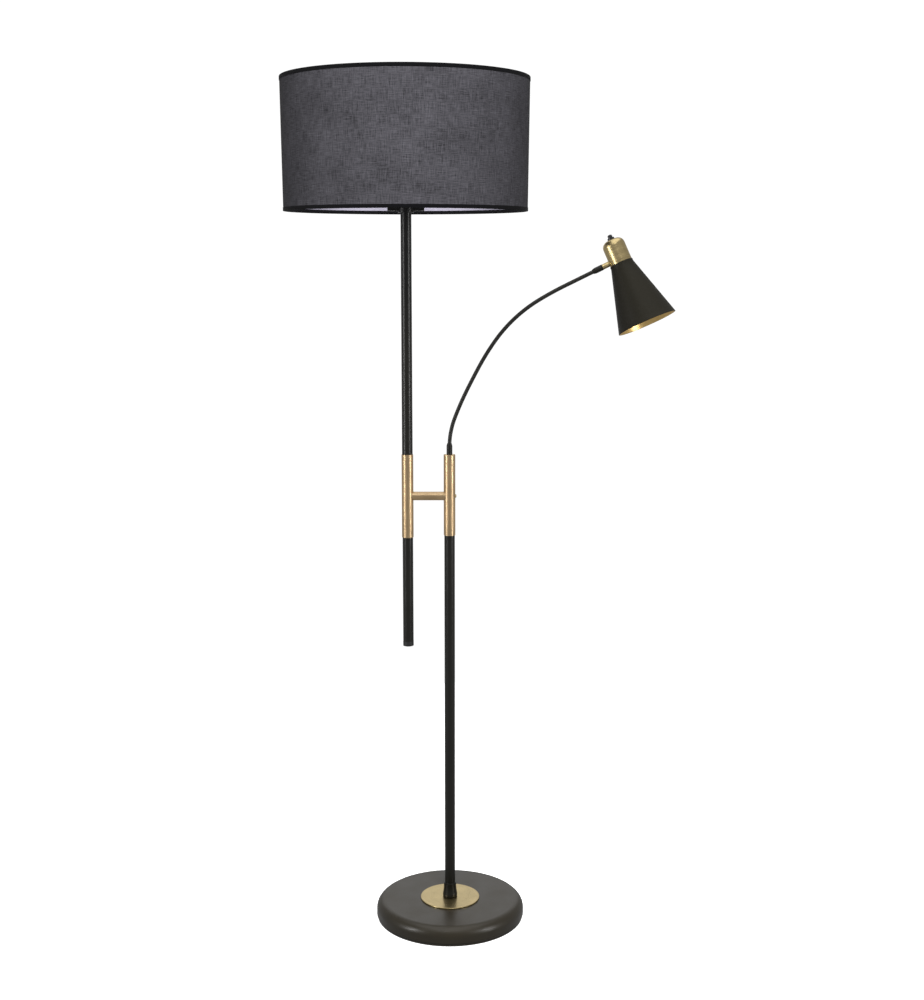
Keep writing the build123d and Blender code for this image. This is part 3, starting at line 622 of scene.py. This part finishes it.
def opal_glass():
    """Opal bulb glass, unlit: milky inside with a clear gloss on top."""
    gloss = {"Coat Weight": 0.6, "Coat Roughness": 0.05}
    milk = {"Subsurface Weight": 0.3, "Subsurface Scale": 4 * MM}
    finish, tree, shader = new_finish("opal_glass", **gloss, **milk)
    clouds = grain(tree, place_of(tree), 20 * MM, 2.0)
    connect(
        tree,
        shader,
        colour=shades(tree, clouds, linear("#f2f0ea"), 0.97, 1.03),
        rough=between(tree, clouds, 0.22, 0.3),
    )
    return finish


def shade_liner(colour):
    """Styrene laminate inside the shade, with the cloth's weave just printing through. Its colour is painted
    shade: the pale lavender styrene is darkened to the grey it shows inside the drum.
    """
    finish, tree, shader = new_finish("styrene_liner_painted_shade", **{"Specular IOR Level": 0.35})
    press = grain(tree, place_of(tree, (1, 1, 0.1)), 1.5 * MM, 2.0)
    clouds = grain(tree, place_of(tree), 70 * MM, 3.0)
    connect(
        tree,
        shader,
        colour=shades(tree, clouds, colour, 0.96, 1.03),
        rough=between(tree, press, 0.5, 0.6),
        normal=relief(tree, press, 0.02 * MM),
    )
    return finish


def make_finishes(colours):
    """One finish for each of the frame's material slots, named for what the real part is made of."""
    upright, lengthwise, round_cap = (1, 1, 0.01), (0.01, 1, 1), (0.03, 0.03, 1)
    brass, pale_brass, paint, bronze = colours.brass, colours.pale_brass, colours.paint, colours.base
    return {
        # Baked powder coats and lacquers on steel: even, with a slight orange peel.
        "base_paint": powder_paint("bronze_black_powder_coat", bronze, 0.36, depth=0.03 * MM, shine=0.5),
        "black_paint": powder_paint("satin_black_powder_coat", paint, 0.33, shine=0.38),
        "ferrule_paint": powder_paint("black_ferrule_lacquer", paint, 0.4, depth=0.01 * MM),
        "cone_paint": powder_paint("matt_cone_paint", colours.cone, 0.55, 0.9 * MM, shine=0.22),
        "white_wire": powder_paint("white_wire_coating", linear("#dddbe0"), 0.4),
        # Lacquered brass, its grain along each part as it was brushed, spun or turned.
        "brass_turned": turned_brass("lathe_turned_brass", pale_brass, Vector()),
        "brass_brushed": brushed_brass("brushed_brass_tube", brass, upright),
        "brass_bar": brushed_brass("brushed_brass_bar", brass, lengthwise),
        "brass_cap": brushed_brass("spun_brass_cap", pale_brass, round_cap, 0.3, HEAD),
        # Small hardware as it comes from stock: rolled, plated and a little scratched.
        "brass_screw": bare_metal("brass_screw", pale_brass, 0.25),
        "brass_thread": bare_metal("rolled_brass_thread", linear("#c9ad68"), 0.3),
        "zinc_steel": bare_metal("zinc_plated_steel", linear("#a9abae"), 0.35),
        "bulb_cap_metal": bare_metal("nickel_bulb_cap", linear("#c4c6c8"), 0.28),
        # The weight inside the base and the pad under it.
        "cast_iron": rough_casting(linear("#4a4745")),
        "felt": felt(linear("#232327")),
        # The drum shade and the arm.
        "shade_fabric": slub_fabric(colours.fabric),
        # The liner's colour carries painted shade, darker than the pale styrene itself.
        "shade_liner": shade_liner(colours.liner_painted_shade),
        "hem_tape": binding_tape(colours.tape),
        "neck_sleeve": arm_sleeve(paint),
        # Moulded and fired parts: glossy bakelite and switch plastic, dull rubber, dry white ceramic.
        "rubber": moulded("black_rubber", linear("#1b1b1b"), 0.65),
        "black_bakelite": moulded("black_bakelite", linear("#191817"), 0.3),
        "white_ceramic": moulded("unglazed_steatite", linear("#e6e3da"), 0.7, 0.4 * MM),
        "black_cap": moulded("black_end_cap", linear("#191919"), 0.45),
        "switch_plastic": moulded("black_switch_plastic", linear("#151517"), 0.25),
        "cable_sheath": moulded("black_cable_sheath", linear("#1b1b1b"), 0.5),
        "bulb_glass": opal_glass(),
    }


def finish_for(slot):
    """The material already made for a slot."""
    return bpy.data.materials[bpy.context.scene["lamp_finishes"][slot]]


# ---- The operators ----
class LAMP_OT_finishes(bpy.types.Operator):
    """Gives every part of the frame the finish of what it is made of"""

    bl_idname = "lamp.finishes"
    bl_label = "Finish the Fixed Parts"

    def execute(self, context):
        made = make_finishes(context.scene.lamp_colours)
        context.scene["lamp_finishes"] = {slot: finish.name for slot, finish in made.items()}
        for part in frame["record"]["subparts"]:
            frame["nodes"][part["node"]].material_slots[0].material = made[part["material_slot"]]
        return {"FINISHED"}


def hem_outline(outer, edge, up, top, sizes):
    """Across a binding tape: down the outside, round the rim and its wire, and up against the liner."""
    corner, bead, bead_turn = 0.9 * MM, 2.15 * MM, 140
    corner_steps, bead_steps = 4, 8
    # The inner edge, in from the outside and up from the rim: past the wire and onto the liner.
    inner_edge = ((3.4 * MM, 4.9 * MM), (2.9 * MM, 5.7 * MM), (2.8 * MM, 6.9 * MM))
    wire = outer - sizes.tape_wire
    stations = [(outer, top)]
    for step in range(corner_steps + 1):
        angle = radians(90 * step / corner_steps)
        stations.append((outer - corner * (1 - cos(angle)), edge + up * corner * (1 - sin(angle))))
    for step in range(bead_steps + 1):
        angle = radians(bead_turn * step / bead_steps)
        stations.append((wire - bead * sin(angle), edge + up * bead * (1 - cos(angle))))
    return stations + [(outer - inward, edge + up * upward) for inward, upward in inner_edge]


class LAMP_OT_hems(bpy.types.Operator):
    """Rolls binding tape over both rims of the drum shade"""

    bl_idname = "lamp.hems"
    bl_label = "Make the Binding Tapes"

    def execute(self, context):
        sizes = context.scene.lamp_sizes
        for name, node, up in (("bottom_hem", "bottom_tape", 1), ("top_hem", "top_tape", -1)):
            low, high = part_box(node)
            edge, top = (low.z, high.z) if up > 0 else (high.z, low.z)
            outer = radius_of(node)
            stations = hem_outline(outer, edge, up, top, sizes)
            piece = turned(name, stations, sizes.shade_sides)
            wrap(piece, outer, run_lengths(stations, sizes.shade_sides))
            outside = max(piece.data.polygons, key=lambda face: face.center.xy.length)
            if outside.normal.xy.dot(outside.center.xy) < 0:
                bpy.ops.object.mode_set(mode="EDIT")
                bpy.ops.mesh.select_all(action="SELECT")
                bpy.ops.mesh.flip_normals()
                bpy.ops.object.mode_set(mode="OBJECT")
            thicken(piece, sizes.tape_thickness)
            put(piece, Matrix.Translation(SHADE_AXIS))
            smooth(piece, 50)
            wear(piece, finish_for("hem_tape"))
            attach(piece, "stand")
            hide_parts(node)
        return {"FINISHED"}


class LAMP_OT_fabric(bpy.types.Operator):
    """Wraps the fabric round the drum shade between its two tapes, lapped at the back"""

    bl_idname = "lamp.fabric"
    bl_label = "Make the Shade Fabric"

    def execute(self, context):
        sizes = context.scene.lamp_sizes
        low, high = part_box("shade_fabric")
        height = high.z - low.z
        top_radius = radius_of("top_tape") - sizes.fabric_seam
        bottom_radius = radius_of("bottom_tape") - sizes.fabric_seam
        set_down()
        bpy.ops.mesh.primitive_cone_add(
            vertices=sizes.shade_sides,
            radius1=bottom_radius,
            radius2=top_radius,
            depth=height,
            end_fill_type="NOTHING",
            location=(0, 0, (low.z + high.z) / 2),
        )
        piece = context.object
        piece.name = "drum_fabric"
        bpy.ops.object.transform_apply(location=True, rotation=True, scale=True)
        places = [vertex.co for vertex in piece.data.vertices]
        back = [place.y > 0 and abs(place.x) < NEAR for place in places]
        pick_edges(piece, lambda edge: all(back[vertex] for vertex in edge.vertices))
        bpy.ops.mesh.edge_split(type="EDGE")
        bpy.ops.object.mode_set(mode="OBJECT")
        self.lap(piece, bottom_radius, sizes.fabric_lap)
        wrap(piece, (top_radius + bottom_radius) / 2)
        thicken(piece, sizes.fabric_thickness)
        put(piece, Matrix.Translation(SHADE_AXIS))
        smooth(piece)
        wear(piece, finish_for("shade_fabric"))
        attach(piece, "stand")
        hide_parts("shade_fabric")
        return {"FINISHED"}

    def lap(self, piece, radius, length):
        """Carries one of the two cut edges on round the back, outside the other."""
        steps, outward = 3, 1.0 * MM
        mesh = piece.data
        at_back = [face for face in mesh.polygons if face.center.y > 0 and face.center.x > 0]
        first = min(at_back, key=lambda face: face.center.x)
        cut = {vertex for vertex in first.vertices if abs(mesh.vertices[vertex].co.x) < NEAR}
        pick_edges(piece, lambda edge: set(edge.vertices) == cut)
        share = length / steps
        for step in range(steps):
            lift = outward if step == 0 else 0.0
            drop = (step + 0.5) * share**2 / radius
            bpy.ops.mesh.extrude_region_move(TRANSFORM_OT_translate={"value": (0, lift, 0)})
            bpy.ops.transform.translate(value=(-share, -drop, 0))
        bpy.ops.object.mode_set(mode="OBJECT")


def along_arm(distance, sizes):
    """The arm's place and heading from the vertical, at a distance along its run of tangent arcs."""
    place = Vector((0, 0, sizes.arm_start))
    heading = 0.0
    if distance <= 0:
        return place + Vector((0, 0, distance)), heading
    for turn in (*sizes.link_turns, 0.0):
        step = min(distance, sizes.link_length)
        bend = radians(turn) * step / sizes.link_length
        chord = step if bend == 0 else 2 * sin(bend / 2) * step / bend
        place += chord * Vector((sin(heading + bend / 2), 0, cos(heading + bend / 2)))
        heading += bend
        distance -= step
    return place, heading


class LAMP_OT_arm(bpy.types.Operator):
    """Makes the bending arm in seven lengths, each curved along the arm's arcs across the joint between two links
    of the frame
    """

    bl_idname = "lamp.arm"
    bl_label = "Make the Bending Arm"

    def execute(self, context):
        sizes = context.scene.lamp_sizes
        links = len(sizes.link_turns)
        ring_spacing, into_lower, into_upper, sides = 2.5 * MM, 12 * MM, 5.5 * MM, 40
        for number in range(1, links):
            first, last = number == 1, number == links - 1
            # Each length bends between the middles of two links, and the outer ones reach into a ferrule.
            lower_middle = (number - 0.5) * sizes.link_length
            upper_middle = (number + 0.5) * sizes.link_length
            start = -into_lower if first else lower_middle
            end = links * sizes.link_length + into_upper if last else upper_middle
            rings = round((end - start) / ring_spacing)
            heights = [start + (end - start) * ring / rings for ring in range(rings + 1)]
            stations = [(sizes.arm_radius, height) for height in heights]
            piece = turned(f"arm_length_{number}", stations, sides)
            wrap(piece, sizes.arm_radius)
            for vertex in piece.data.vertices:
                place, heading = along_arm(vertex.co.z, sizes)
                across = Vector((cos(heading), 0, -sin(heading)))
                vertex.co = place + across * vertex.co.x + Vector((0, vertex.co.y, 0))
            on_open_edges(piece, bpy.ops.mesh.fill_holes, sides=0)
            face_out(piece)
            smooth(piece, 50)
            wear(piece, finish_for("neck_sleeve"))
            blend_start = along_arm(upper_middle, sizes)[0]
            blend_end = along_arm(lower_middle, sizes)[0]
            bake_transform(piece)
            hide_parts(f"neck_link_{number}", *([f"neck_link_{links}"] if last else []))
        return {"FINISHED"}


def cone_outline(sizes):
    """Along the cone's wall from its hole, out to the mouth and back inside, and where gold begins."""
    top, neck, mouth = 7.85 * MM, 12.85 * MM, 128.8 * MM
    hole, corner, collar, flare = 13.2 * MM, 0.8 * MM, 1 * MM, 0.1 * MM
    corner_steps, wall_steps, bead_steps = 4, 11, 9
    bead_start, bead_turn = -20, 200
    bead = sizes.rim_bead
    run = mouth - neck
    slope = (sizes.cone_mouth - sizes.cone_neck) / run
    inner_neck = sizes.cone_neck - sizes.cone_wall
    inner_slope = (sizes.cone_mouth - 2 * bead - inner_neck) / run
    climbs = [(run - 2 * bead) * step / wall_steps for step in range(wall_steps + 1)]

    stations = [(hole, top), (sizes.cone_neck - corner, top)]
    for step in range(1, corner_steps + 1):
        angle = radians(90 * step / corner_steps)
        radius = sizes.cone_neck - corner * (1 - sin(angle))
        stations.append((radius, top + corner * (1 - cos(angle))))
    stations.append((sizes.cone_neck, neck - collar))
    stations += [(sizes.cone_neck + flare + climb * slope, neck + climb) for climb in climbs]
    gold = len(stations) + bead_steps // 2 + 1
    for step in range(1, bead_steps + 1):
        angle = radians(bead_start + bead_turn * step / bead_steps)
        radius = sizes.cone_mouth - bead + bead * cos(angle)
        stations.append((radius, mouth - bead + bead * sin(angle)))
    stations += [(inner_neck + climb * inner_slope, neck + climb) for climb in reversed(climbs)]
    under = top + sizes.cone_wall
    return stations + [(inner_neck, under), (hole, under)], gold


class LAMP_OT_cone(bpy.types.Operator):
    """Turns the reading cone, painted outside and gold inside, with a rolled edge at its mouth"""

    bl_idname = "lamp.cone"
    bl_label = "Make the Reading Cone"

    def execute(self, context):
        sides = 128
        stations, gold = cone_outline(context.scene.lamp_sizes)
        piece = turned("reading_cone", stations, sides)
        on_open_edges(piece, bpy.ops.mesh.bridge_edge_loops)
        wear(piece, finish_for("cone_paint"), gold_lining(context.scene.lamp_colours.gold))
        for face in piece.data.polygons:
            face.material_index = int(min(face.vertices) >= gold * sides)
        face_out(piece)
        put(piece, HEAD)
        smooth(piece, 40)
        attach(piece, "head")
        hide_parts("cone_shade")
        return {"FINISHED"}


def make_bulb_cap(name, radius, length, pitch, depth):
    """A bulb's screw cap, upright from its contact at height 0: contact, shoulder and rolled thread."""
    pole, tip = 0.05 * radius, 0.42 * radius
    shoulder, thread_start, thread_end = 0.16 * length, 0.208 * length, 0.96 * length
    per_turn = 8
    stations = [(pole, 0), (0.8 * tip, 0.02 * length), (tip, 0.05 * length), (0.82 * radius, shoulder)]
    rings = round((thread_end - thread_start) * per_turn / pitch)
    for ring in range(rings + 1):
        roll = 0.5 + 0.5 * cos(2 * pi * ring / per_turn)
        stations.append((radius - depth * roll, thread_start + ring * pitch / per_turn))
    piece = turned(name, stations + [(radius, length), (pole, length)], 64)
    on_open_edges(piece, bpy.ops.mesh.fill_holes, sides=0)
    face_out(piece)
    return piece


class LAMP_OT_bulb_caps(bpy.types.Operator):
    """Makes the screw caps of both bulbs"""

    bl_idname = "lamp.bulb_caps"
    bl_label = "Make the Bulb Caps"

    def execute(self, context):
        low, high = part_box("bulb_cap")
        contact_from_cap = 3 * MM
        upright = Matrix.Translation((SHADE_AXIS.x, 0, low.z))
        in_head = HEAD @ Matrix.Translation((0, 0, contact_from_cap))
        thread_depth = 0.6 * MM
        # Name, node, body, place, thread radius, length and pitch: an E27 cap and an E14 cap.
        caps = (
            ("main_bulb_cap", "bulb_cap", "stand", upright, 13.2 * MM, high.z - low.z, 3.6 * MM),
            ("reading_bulb_thread", "reading_bulb_cap", "head", in_head, 7.0 * MM, 24 * MM, 2.8 * MM),
        )
        for name, node, body, place, radius, length, pitch in caps:
            piece = make_bulb_cap(name, radius, length, pitch, thread_depth)
            put(piece, place)
            smooth(piece, 50)
            wear(piece, finish_for("bulb_cap_metal"))
            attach(piece, body)
            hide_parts(node)
        return {"FINISHED"}


def softbox(name, place, aim, width, height, watts, gloss=True, matt=True):
    """A soft light at a place, turned to a point, never seen itself: for gloss, matt surfaces or both."""
    light = bpy.data.lights.new(name, "AREA")
    light.shape = "RECTANGLE"
    light.size = width
    light.size_y = height
    light.energy = watts
    lamp = bpy.data.objects.new(name, light)
    bpy.context.scene.collection.objects.link(lamp)
    lamp.location = place
    lamp.rotation_euler = (Vector(aim) - Vector(place)).to_track_quat("-Z", "Y").to_euler()
    lamp.visible_camera = False
    lamp.visible_glossy = gloss
    lamp.visible_diffuse = matt


class LAMP_OT_stage(bpy.types.Operator):
    """Sets the camera, the soft studio lights and a plain white floor"""

    bl_idname = "lamp.stage"
    bl_label = "Set the Stage"

    def execute(self, context):
        lens, place, tilt = 53.47, (0.0235, -2.762, 1.288), 9.43
        camera_data = bpy.data.cameras.new("camera")
        camera_data.lens = lens
        camera_data.sensor_width = 36
        camera = bpy.data.objects.new("camera", camera_data)
        context.scene.collection.objects.link(camera)
        camera.location = place
        camera.rotation_euler = (radians(90 - tilt), 0, 0)
        context.scene.camera = camera

        # Place, aim, width, height and watts. The boxes for gloss alone draw the highlights on paint
        # and brass, the front box lights what is matt, and the back box the far side.
        softbox("left_box", (-2.1, -1.2, 1.05), (-0.05, 0, 1.05), 0.35, 1.3, 19, matt=False)
        softbox("right_box", (2.0, -1.2, 1.05), (0, 0, 1.05), 0.35, 1.3, 18, matt=False)
        softbox("front_box", (0.1, -2.7, 3.6), (0, 0, 1.2), 1.2, 1.0, 265, gloss=False)
        softbox("high_box", (0, -2.1, 3.0), (0, 0, 0.84), 1.6, 0.5, 9, matt=False)
        softbox("top_box", (0, 0, 3.6), (0, 0, 0), 3.4, 3.4, 45, matt=False)
        softbox("back_box", (0, 3.0, 1.6), (0, 0, 0.6), 3.2, 1.5, 10)

        floor_radius, below_felt, glow = 1.6, 0.5 * MM, 0.9
        set_down()
        bpy.ops.mesh.primitive_circle_add(
            vertices=128, radius=floor_radius, fill_type="NGON", location=(0, 0, -below_felt)
        )
        bpy.ops.object.transform_apply(location=True, rotation=True, scale=True)
        floor = context.object
        floor.name = "floor"
        finish, tree, shader = new_finish("white_floor")
        clouds = grain(tree, place_of(tree), 0.5, 2.0)
        connect(tree, shader, colour=shades(tree, clouds, linear("#f6f6f6"), 0.99, 1.0))
        shader.inputs["Roughness"].default_value = 0.9
        shader.inputs["Emission Color"].default_value = (1, 1, 1, 1)
        shader.inputs["Emission Strength"].default_value = glow
        # Seen from below, the floor is clear.
        under = add_node(tree, "NewGeometry").outputs["Backfacing"]
        clear = add_node(tree, "BsdfTransparent").outputs["BSDF"]
        sides = add_node(tree, "MixShader", {"Fac": under, 1: shader.outputs["BSDF"], 2: clear})
        tree.links.new(sides.outputs["Shader"], tree.nodes["Material Output"].inputs["Surface"])
        wear(floor, finish)
        floor.visible_glossy = False
        floor.visible_diffuse = False

        world = bpy.data.worlds.new("studio")
        context.scene.world = world
        world.use_nodes = True
        tree = world.node_tree
        tree.nodes.clear()
        # The backdrop is as bright as the floor, and far dimmer where it lights or is mirrored.
        mirrored, ambient = 0.26, 0.15
        path = add_node(tree, "LightPath")
        backdrop = math(tree, "MULTIPLY", path.outputs["Is Camera Ray"], glow)
        gloss = math(tree, "MULTIPLY", path.outputs["Is Glossy Ray"], mirrored)
        level = math(tree, "ADD", math(tree, "ADD", backdrop, gloss), ambient)
        room = add_node(tree, "Background", {"Color": (1, 1, 1, 1), "Strength": level})
        add_node(tree, "OutputWorld", {"Surface": room.outputs["Background"]})
        context.scene.view_settings.view_transform = "Standard"
        context.scene.view_settings.look = "None"
        return {"FINISHED"}


STEPS = (
    LAMP_OT_stage,
    LAMP_OT_finishes,
    LAMP_OT_hems,
    LAMP_OT_fabric,
    LAMP_OT_arm,
    LAMP_OT_cone,
    LAMP_OT_bulb_caps,
)


class LAMP_PT_panel(bpy.types.Panel):
    """Lists the lamp's settings and the steps that build it"""

    bl_idname = "LAMP_PT_panel"
    bl_label = "Floor Lamp"
    bl_space_type = "VIEW_3D"
    bl_region_type = "UI"
    bl_category = "Floor Lamp"

    def draw(self, context):
        layout = self.layout
        for group in (context.scene.lamp_sizes, context.scene.lamp_colours):
            column = layout.column(align=True)
            for name in group.bl_rna.properties.keys():
                if name not in ("rna_type", "name"):
                    column.prop(group, name)
        for step in STEPS:
            layout.operator(step.bl_idname)


CLASSES = (LampSizes, LampColours, *STEPS, LAMP_PT_panel)


def register():
    """Adds the settings, the operators and the panel."""
    for item in CLASSES:
        bpy.utils.register_class(item)
    bpy.types.Scene.lamp_sizes = PointerProperty(type=LampSizes)
    bpy.types.Scene.lamp_colours = PointerProperty(type=LampColours)


def unregister():
    """Takes them away again."""
    del bpy.types.Scene.lamp_colours
    del bpy.types.Scene.lamp_sizes
    for item in reversed(CLASSES):
        bpy.utils.unregister_class(item)


def main():
    """Builds the lamp in order."""
    register()
    for step in STEPS:
        group, operator = step.bl_idname.split(".")
        getattr(getattr(bpy.ops, group), operator)()


if __name__ == "__main__":
    main()
